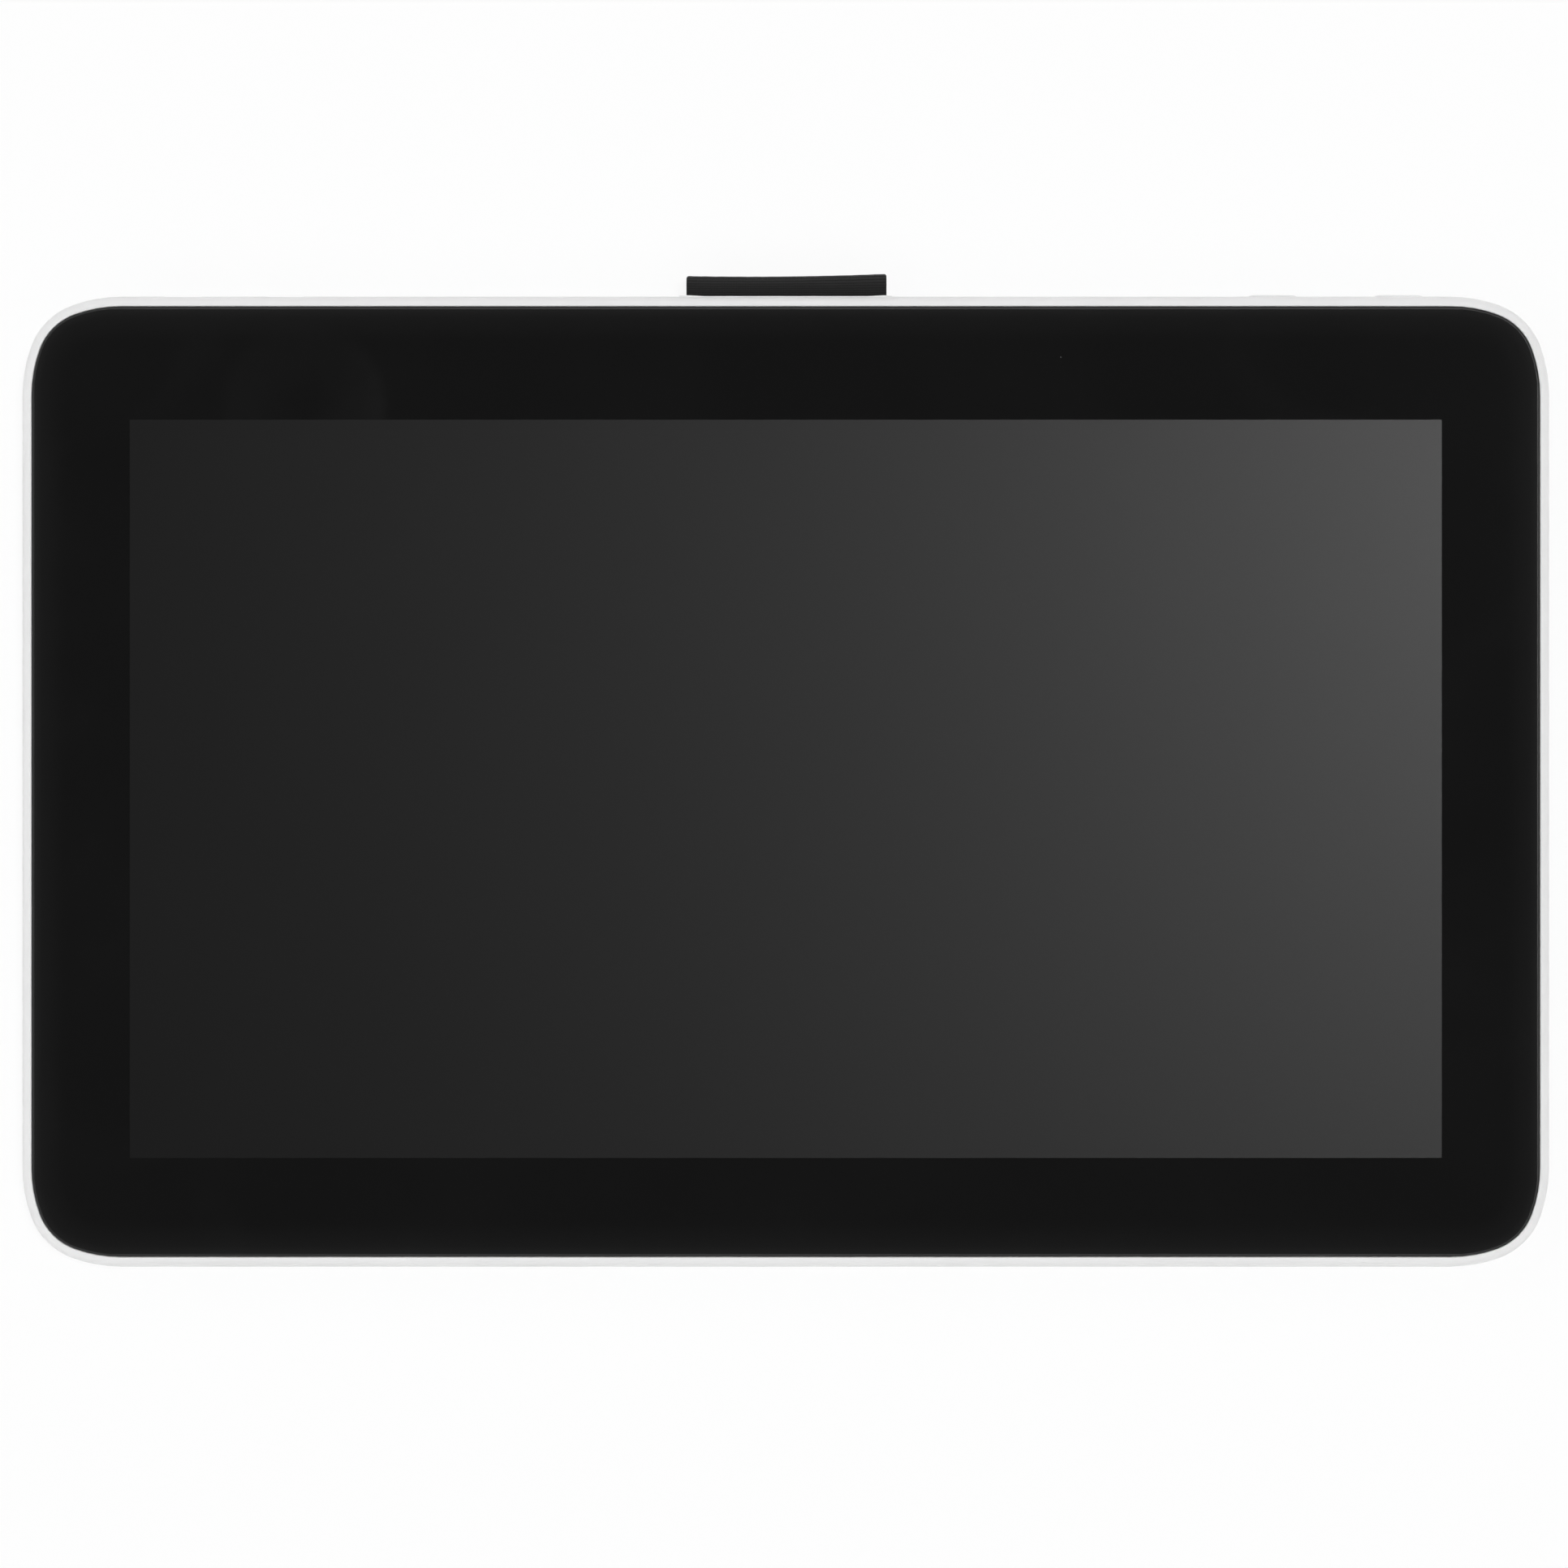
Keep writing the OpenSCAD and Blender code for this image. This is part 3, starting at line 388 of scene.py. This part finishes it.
def wiped_arc(n):
    """Mask of a thumb's wiped arc at the upper left of the glass, strongest at its lower right."""
    centre, radius = Vector((-94.0, 71.3, 0.0)) * MM, 14.1 * MM
    fades_inside, fades_outside, left_share, top_share = 12.0 * MM, 3.5 * MM, 0.5, 0.25
    place = n.add("TexCoord").outputs["Object"]
    flat = n.add("Mapping", {"Vector": place, "Location": -centre, "Scale": (1.0, 1.0, 0.0)})
    from_centre = flat.outputs["Vector"]
    sides = n.add("SeparateXYZ", {"Vector": from_centre}).outputs
    reach = n.add("VectorMath", {0: from_centre}, operation="LENGTH").outputs["Value"]
    inside = n.span(reach, radius - fades_inside, radius, 0.0, 1.0)
    outside = n.span(reach, radius + fades_outside, radius, 0.0, 1.0, smooth=True)
    across = n.span(sides["X"], -radius, radius, left_share, 1.0)
    down = n.span(sides["Y"], radius, 0.0, top_share, 1.0)
    stroke = n.maths("MULTIPLY", n.maths("MINIMUM", inside, outside), n.maths("MULTIPLY", across, down))
    streak = n.add("TexNoise", {"Vector": place, "Scale": 260.0, "Detail": 3.0}).outputs["Fac"]
    return n.maths("MULTIPLY", stroke, n.span(streak, 0.3, 0.6, 0.6, 1.0))


def black_border():
    """Black print behind the glass, with a wiped arc, a little dust and a painted glow along its rim, where
    light enters the glass.
    """
    material, n, shader = start_material("glass_over_print", Specular_IOR_Level=0.0, **GLASS_COAT)
    grain = add_grain(n, 0.12)
    hands = add_handling(n, 0.12)
    colour = n.mix(grain["Mottle"], grey(0.0058), grey(0.0066))
    colour = n.mix(n.maths("MULTIPLY", hands["Smudge"], 0.06), colour, grey(0.02))
    colour = n.mix(n.maths("MULTIPLY", wiped_arc(n), 0.26), colour, grey(0.02))
    painted_edge_glow = n.add("Attribute", attribute_name="painted_edge_glow").outputs["Fac"]
    # Painted glow: the border is painted paler towards the glass's edge.
    colour = n.mix(painted_edge_glow, colour, grey(0.0138))
    n.feed(shader["Base Color"], n.mix(n.maths("MULTIPLY", hands["Speck"], 0.35), colour, grey(0.25)))
    n.feed(shader["Roughness"], n.span(grain["Mottle"], 0.0, 1.0, 0.55, 0.62))
    coat_with_smudges(n, shader, hands)
    return material


def dark_panel():
    """Switched-off panel seen through the glass: a fine grid of dark cells with a soft, broad sheen."""
    pixel_pitch = 0.1335 * MM
    material, n, shader = start_material(
        "glass_over_panel", Metallic=1.0, Specular_Tint=grey(0.55), **GLASS_COAT)
    place = n.add("TexCoord").outputs["Object"]
    cell = n.maths("MULTIPLY", n.stripes(place, "Y", pixel_pitch), n.stripes(place, "X", pixel_pitch))
    n.feed(shader["Base Color"], n.mix(cell, grey(0.0167), grey(0.0187)))
    grain = add_grain(n, 0.5)
    n.feed(shader["Roughness"], n.span(grain["Mottle"], 0.0, 1.0, 0.324, 0.329))
    coat_with_smudges(n, shader, add_handling(n, 0.0))
    return material


def brushed_steel():
    """Drawn steel of the port shells, brushed along the port."""
    material, n, shader = start_material("drawn_port_steel", Metallic=1.0)
    place = n.add("TexCoord").outputs["Object"]
    drawn = n.add("Mapping", {"Vector": place, "Scale": (9000.0, 350.0, 9000.0)}).outputs["Vector"]
    streak = n.add("TexNoise", {"Vector": drawn, "Scale": 1.0, "Detail": 3.0}).outputs["Fac"]
    n.feed(shader["Base Color"], n.mix(streak, grey(0.52), grey(0.66)))
    n.feed(shader["Roughness"], n.span(streak, 0.3, 0.7, 0.24, 0.40))
    add_bump(n, shader, streak, 0.004)
    return material


def green_board():
    """Circuit board: solder mask over faint copper tracks."""
    material, n, shader = start_material("green_solder_mask")
    place = n.add("TexCoord").outputs["Object"]
    tracks = n.add("TexBrick", {
        "Vector": place, "Scale": 260.0, "Mortar Size": 0.06, "Color1": grey(0.0), "Color2": grey(0.0),
        "Mortar": grey(1.0)}).outputs["Color"]
    grain = add_grain(n, 0.2)
    mask = n.mix(grain["Mottle"], (0.012, 0.085, 0.03, 1), (0.018, 0.105, 0.04, 1))
    n.feed(shader["Base Color"], n.mix(tracks, mask, (0.05, 0.16, 0.06, 1)))
    n.feed(shader["Roughness"], n.span(grain["Mottle"], 0.0, 1.0, 0.32, 0.42))
    add_bump(n, shader, tracks, 0.02)
    return material


def ribbed_fabric():
    """Woven elastic band, painted paler along its fold as a highlight: ribs from the mesh, yarns and fuzz on
    its flat map, with painted shade in the rib grooves.
    """
    yarn_pitch, rib_pitch, middle = 0.34 * MM, BAND_LENGTH / RIBS * MM, BAND_LENGTH / 2 * MM
    fold_highlight_out, fold_highlight_full = 2.6 * MM, 0.5 * MM
    material, n, shader = start_material(
        "ribbed_loop_fabric", Specular_IOR_Level=0.2, Sheen_Weight=0.42, Sheen_Roughness=0.35,
        Sheen_Tint=grey(0.55))
    flat = n.add("UVMap", uv_map="flat").outputs["UV"]
    yarns = n.stripes(flat, "X", yarn_pitch, Distortion=0.6, Detail=1.0, Detail_Scale=2.0)
    ribs = n.stripes(flat, "Y", rib_pitch, Distortion=0.15)
    fuzz = n.add("TexNoise", {"Vector": flat, "Scale": 9000.0, "Detail": 2.0}).outputs["Fac"]
    grain = add_grain(n, 0.4)
    along = n.add("SeparateXYZ", {"Vector": flat}).outputs["Y"]
    from_fold = n.maths("ABSOLUTE", n.maths("SUBTRACT", along, middle))
    # Painted highlight: grooves and ridges are painted paler towards the fold at the eye.
    painted_fold_highlight = n.span(from_fold, fold_highlight_out, fold_highlight_full, 0.0, 1.0, smooth=True)
    # Painted shade: the rib grooves are painted darker than the ridges, in step with the mesh's grooves.
    groove_shade = n.mix(painted_fold_highlight, grey(0.0085), grey(0.013))
    ridge = n.mix(painted_fold_highlight, grey(0.0215), grey(0.042))
    thread = n.mix(ribs, groove_shade, ridge)
    thread = n.mix(n.maths("MULTIPLY", yarns, 0.5), thread, groove_shade)
    n.feed(shader["Base Color"], n.mix(n.maths("MULTIPLY", grain["Mottle"], 0.2), thread, grey(0.021)))
    n.feed(shader["Roughness"], n.span(fuzz, 0.3, 0.7, 0.78, 0.95))
    weave = n.maths("ADD", n.maths("MULTIPLY", yarns, 0.7), n.maths("MULTIPLY", fuzz, 0.6))
    add_bump(n, shader, weave, 0.05, 0.9)
    return material


FINISHES = {
    "shell_white": white_shell("white_moulded_shell", 0.22, 0.0025),
    "cover_glass": black_border(),
    "panel_glass": dark_panel(),
    "port_steel": brushed_steel(),
    "circuit_board": green_board(),
    "loop_fabric": ribbed_fabric(),
    "black_print": plain_finish(
        "black_border_print", grey(0.005), grey(0.007), rough=(0.5, 0.6), tooth=(0.12, 0.002)),
    "clear_bond": plain_finish(
        "clear_bond_gel", grey(0.95), grey(0.97), rough=(0.05, 0.08), tooth=(2.0, 0.001),
        Transmission_Weight=1.0, IOR=1.47),
    "black_tape": plain_finish(
        "black_foam_tape", grey(0.008), grey(0.012), rough=(0.7, 0.85), tooth=(0.15, 0.02)),
    "white_film": plain_finish(
        "white_diffuser_film", grey(0.78), grey(0.84), rough=(0.5, 0.62), tooth=(0.1, 0.004)),
    "clear_acrylic": plain_finish(
        "clear_light_acrylic", grey(0.90), grey(0.94), rough=(0.10, 0.18), tooth=(0.6, 0.002),
        Transmission_Weight=0.75, IOR=1.49),
    "lamp_strip": plain_finish(
        "amber_lamp_strip", (0.62, 0.47, 0.16, 1), (0.68, 0.53, 0.2, 1), rough=(0.4, 0.55)),
    "sheet_metal": plain_finish(
        "bright_sheet_metal", grey(0.55), grey(0.62), rough=(0.30, 0.42), tooth=(0.15, 0.004), Metallic=1.0),
    "foam": plain_finish("grey_foam", grey(0.05), grey(0.075), rough=(0.88, 0.97), tooth=(0.25, 0.08)),
    "dark_plastic": plain_finish(
        "dark_moulded_plastic", grey(0.016), grey(0.022), rough=(0.42, 0.55), tooth=(0.2, 0.012)),
    "ivory_plastic": plain_finish(
        "ivory_plastic", (0.70, 0.66, 0.55, 1), (0.74, 0.70, 0.60, 1), rough=(0.4, 0.5), tooth=(0.2, 0.01)),
    "screw_steel": plain_finish(
        "zinc_screw_steel", grey(0.48, 0.02), grey(0.56, 0.02), rough=(0.26, 0.40), tooth=(0.12, 0.006),
        Metallic=1.0),
    "insert_brass": plain_finish(
        "turned_brass", (0.70, 0.50, 0.19, 1), (0.76, 0.56, 0.24, 1), rough=(0.24, 0.36),
        tooth=(0.12, 0.006), Metallic=1.0),
    "foot_rubber": plain_finish(
        "grey_foot_rubber", grey(0.17), grey(0.205), rough=(0.72, 0.86), tooth=(0.18, 0.03)),
    "ribbon_film": plain_finish(
        "amber_ribbon_film", (0.40, 0.17, 0.035, 1), (0.46, 0.21, 0.05, 1), rough=(0.26, 0.36),
        tooth=(0.5, 0.003)),
}
GROUND_EDGE = plain_finish(
    "ground_glass_edge", grey(0.012), grey(0.018), rough=(0.42, 0.5), tooth=(0.1, 0.003),
    Specular_IOR_Level=0.35)
GRAINED_BACK = white_shell("white_grained_back", 0.45, 0.010)
GOLD = plain_finish(
    "gold_contact", (0.80, 0.56, 0.20, 1), (0.86, 0.62, 0.26, 1), rough=(0.18, 0.30), tooth=(0.1, 0.002),
    Metallic=1.0)

SLOT_OF = {name: node.data.materials[0].name for name, node in frame["nodes"].items()}
for name, node in frame["nodes"].items():
    node.material_slots[0].material = FINISHES[SLOT_OF[name]]

# Moulded pieces: the solids with their edges eased

SMOOTH_ANGLE = math.radians(32)


def merged_copy(node):
    """The solid's triangles joined into whole flat faces."""
    bm = bmesh.new()
    bm.from_mesh(frame["nodes"][node].data)
    bmesh.ops.remove_doubles(bm, verts=bm.verts[:], dist=2 * TOUCH)
    bmesh.ops.dissolve_limit(bm, angle_limit=math.radians(0.5), verts=bm.verts[:], edges=bm.edges[:])
    return bm


def settle(piece, body, *nodes, ease=0.0):
    """Smooth shading, eased edges, and what the piece stands for and rides on."""
    mesh = piece.data
    mesh.polygons.foreach_set("use_smooth", [True] * len(mesh.polygons))
    mesh.set_sharp_from_angle(angle=SMOOTH_ANGLE)
    if ease:
        bevel = piece.modifiers.new("eased_edges", "BEVEL")
        bevel.width = ease * MM
        bevel.segments = 3
        bevel.limit_method = "ANGLE"
        bevel.angle_limit = SMOOTH_ANGLE
        bevel.harden_normals = False
    normals = piece.modifiers.new("even_shading", "WEIGHTED_NORMAL")
    normals.keep_sharp = True
    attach(piece, body)
    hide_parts(*nodes)
    return piece


def eased(node, name, body, ease):
    return settle(add_piece(name, merged_copy(node), FINISHES[SLOT_OF[node]]), body, node, ease=ease)


def flush_loop_lip(bm):
    """The loop's lip stands proud at its two ends only, and lies almost flush between them."""
    between, lip_y = 19.0 * MM, (EDGE_Y + 0.03) * MM
    for v in bm.verts:
        if abs(v.co.x) < between and v.co.y > lip_y:
            v.co.y = lip_y


def eased_shell(node, name, finish, ease):
    """A shell, cut into short lengths so that shading stays even round the openings in its top edge."""
    reach, step = 128, 4
    bm = merged_copy(node)
    for x in range(-reach, reach + 1, step):
        bmesh.ops.bisect_plane(
            bm, geom=bm.verts[:] + bm.edges[:] + bm.faces[:], plane_co=(x * MM, 0, 0), plane_no=(1, 0, 0),
            dist=TOUCH)
    flush_loop_lip(bm)
    return settle(add_piece(name, bm, finish), "case", node, ease=ease)


eased_shell("front_frame", "front_shell", FINISHES["shell_white"], 0.10)
eased_shell("rear_cover", "rear_shell", GRAINED_BACK, 0.10)
eased("power_button", "power_key_cap", "power_key", 0.12)
eased("menu_button", "menu_key_cap", "menu_key", 0.12)
eased("rubber_feet", "foot_pads", "case", 0.15)
eased("usb_shells", "port_sleeves", "case", 0.06)
eased("usb_tongues", "port_tongues", "case", 0.06)
eased("light_pipe", "status_window", "case", 0.08)

# Glass front

WINDOW_W, WINDOW_H = 256.3, 144.2  # lit area, in millimetres
WINDOW_Y = -3.55  # its middle, up the front


def bonded_glass():
    """Cover glass, bonded to print and panel, so that its front shows them: the print round the window."""
    print_index, panel_index, edge_index = 0, 1, 2
    edge_ring, painted_glow_rings = 0.05, ((1.5, 0.4), (4.5, 0.0))
    bm = merged_copy("cover_glass")
    front_z = max(v.co.z for v in bm.verts)

    def is_front(face):
        return all(front_z - v.co.z < TOUCH for v in face.verts)

    front = [f for f in bm.faces if is_front(f)]
    bmesh.ops.inset_region(bm, faces=front, thickness=edge_ring * MM, use_even_offset=True)
    painted_edge_glow = bm.verts.layers.float.new("painted_edge_glow")
    for v in bm.verts:
        v[painted_edge_glow] = 1.0
    # Rings that carry the painted glow: full at the edge, 0.4 at 1.5 mm in, none from 6 mm in.
    for width, glow in painted_glow_rings:
        bmesh.ops.inset_region(bm, faces=front, thickness=width * MM, use_even_offset=True)
        inner = {v for f in front for v in f.verts}
        for v in inner:
            v[painted_edge_glow] = glow

    low = Vector((-WINDOW_W / 2, WINDOW_Y - WINDOW_H / 2, 0)) * MM
    high = Vector((WINDOW_W / 2, WINDOW_Y + WINDOW_H / 2, 0)) * MM
    geom = front + list({e for f in front for e in f.edges}) + list(inner)
    for corner in (low, high):
        for way in ((1, 0, 0), (0, 1, 0)):
            geom = bmesh.ops.bisect_plane(bm, geom=geom, plane_co=corner, plane_no=way, dist=TOUCH)["geom"]
    for face in bm.faces:
        middle = face.calc_center_median()
        at_edge = all(v[painted_edge_glow] > 0.99 for v in face.verts)
        if at_edge or not is_front(face):
            face.material_index = edge_index
        elif low.x < middle.x < high.x and low.y < middle.y < high.y:
            face.material_index = panel_index
        else:
            face.material_index = print_index
    piece = add_piece("bonded_glass", bm, FINISHES["cover_glass"], FINISHES["panel_glass"], GROUND_EDGE)
    return settle(piece, "case", "cover_glass", "optical_bond")


bonded_glass()

# Port contacts


def port_contacts():
    """Gold contact strips on both faces of each port's tongue."""
    strips, pitch, strip = 12, 0.5, Vector((0.26, 3.6, 0.05))
    tongue_half, tongue_t, tip_gap, worn_edge = 4.12, 0.7, 0.35, 0.015
    low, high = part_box("usb_tongues")
    level = (low.z + high.z) / 2 / MM
    y = high.y / MM - tip_gap - strip.y / 2
    bm = bmesh.new()
    for port in (low.x / MM + tongue_half, high.x / MM - tongue_half):
        for k in range(strips):
            x = port + (k - (strips - 1) / 2) * pitch
            for side in (-1, 1):
                made = bmesh.ops.create_cube(bm, size=1.0)["verts"]
                bmesh.ops.scale(bm, vec=strip * MM, verts=made)
                bmesh.ops.translate(bm, vec=Vector((x, y, level + side * tongue_t / 2)) * MM, verts=made)
    bmesh.ops.bevel(
        bm, geom=bm.edges[:], offset=worn_edge * MM, segments=1, profile=0.5, affect="EDGES", material=-1)
    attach(add_piece("port_contacts", bm, GOLD), "case")


port_contacts()

# Pen loop


def reach_change(x):
    """How far the band's outer fold strays from its even reach: lowest left of the middle, highest right."""
    middle, tilt, bow = -0.258, 0.0107, 0.000775
    waves = ((0.012, 1.9, 0.0), (0.008, 4.3, 1.0))
    corner_from, corner_drop = 0.55, 0.30
    sag = middle + tilt * x + bow * x * x
    waver = sum(height * math.sin(x * turns + start) for height, turns, start in waves)
    corner = max(0.0, (abs(x) - BAND_W / 2 + corner_from) / corner_from)
    return sag + waver - corner_drop * (1 - math.sqrt(max(0.0, 1 - corner * corner)))


def half_ply(x, ribs_along):
    """Half the band's thickness: round ribs with narrow grooves between them, thinner at the woven edges."""
    edge_from, edge_thinning, groove_shape = 0.3, 0.6, 0.7
    edge = max(0.0, (abs(x) - BAND_W / 2 + edge_from) / edge_from)
    rib = RIB_DEPTH * (1 - abs(math.sin(math.pi * ribs_along)) ** groove_shape)
    return (PLY / 2 - rib) * math.sqrt(1 - edge_thinning * edge * edge)


def across_band(vert):
    """A grid vertex's place across the band, with columns closer together towards the woven edges."""
    return math.sin(math.pi * vert.co.x) / 2 * BAND_W


def fold_band(bm, side):
    """One face of the band, folded from a flat grid: the outer face with side 1, the inner face with -1."""
    columns, rows_per_rib, slot_out, tip = 40, 8, 0.2, EYE_C + EYE_R
    made = bmesh.ops.create_grid(bm, x_segments=columns, y_segments=RIBS * rows_per_rib, size=0.5)["verts"]
    flat = bm.loops.layers.uv.verify()
    for face in {f for v in made for f in v.link_faces}:
        face.smooth = True
        for loop in face.loops:
            along = (loop.vert.co.y + 0.5) * BAND_LENGTH
            loop[flat].uv = (across_band(loop.vert) * MM, along * MM)
    at = 0
    for v in sorted(made, key=lambda v: v.co.y):
        s = min(max((v.co.y + 0.5) * BAND_LENGTH, 0.0), BAND_LENGTH)
        while at < len(FOLD) - 2 and FOLD[at + 1][0] < s:
            at += 1
        (s0, out0, h0), (s1, out1, h1) = FOLD[at], FOLD[at + 1]
        t, run = (s - s0) / (s1 - s0), math.hypot(out1 - out0, h1 - h0)
        x = across_band(v)
        lift = side * half_ply(x, RIBS * s / BAND_LENGTH)
        out = out0 + (out1 - out0) * t - lift * (h1 - h0) / run
        h = h0 + (h1 - h0) * t + lift * (out1 - out0) / run
        out += reach_change(x) * ease_in((out - slot_out) / (tip - slot_out))
        v.co = Vector((x + BAND_SHIFT, EDGE_Y + out, LOOP_Z + h)) * MM


def pen_loop_band():
    """The band's outer and inner faces, closed along its two woven edges."""
    bm = bmesh.new()
    bm.loops.layers.uv.new("flat")
    for side in (1, -1):
        fold_band(bm, side)
    bmesh.ops.remove_doubles(bm, verts=bm.verts[:], dist=TOUCH)
    rims = [e for e in bm.edges if e.is_boundary]
    for end in (-1, 1):
        bmesh.ops.bridge_loops(bm, edges=[e for e in rims if e.verts[0].co.x * end > 0])
    bmesh.ops.recalc_face_normals(bm, faces=bm.faces[:])
    band = add_piece("loop_band", bm, FINISHES["loop_fabric"])
    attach(band, "loop")
    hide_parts("pen_loop")


pen_loop_band()
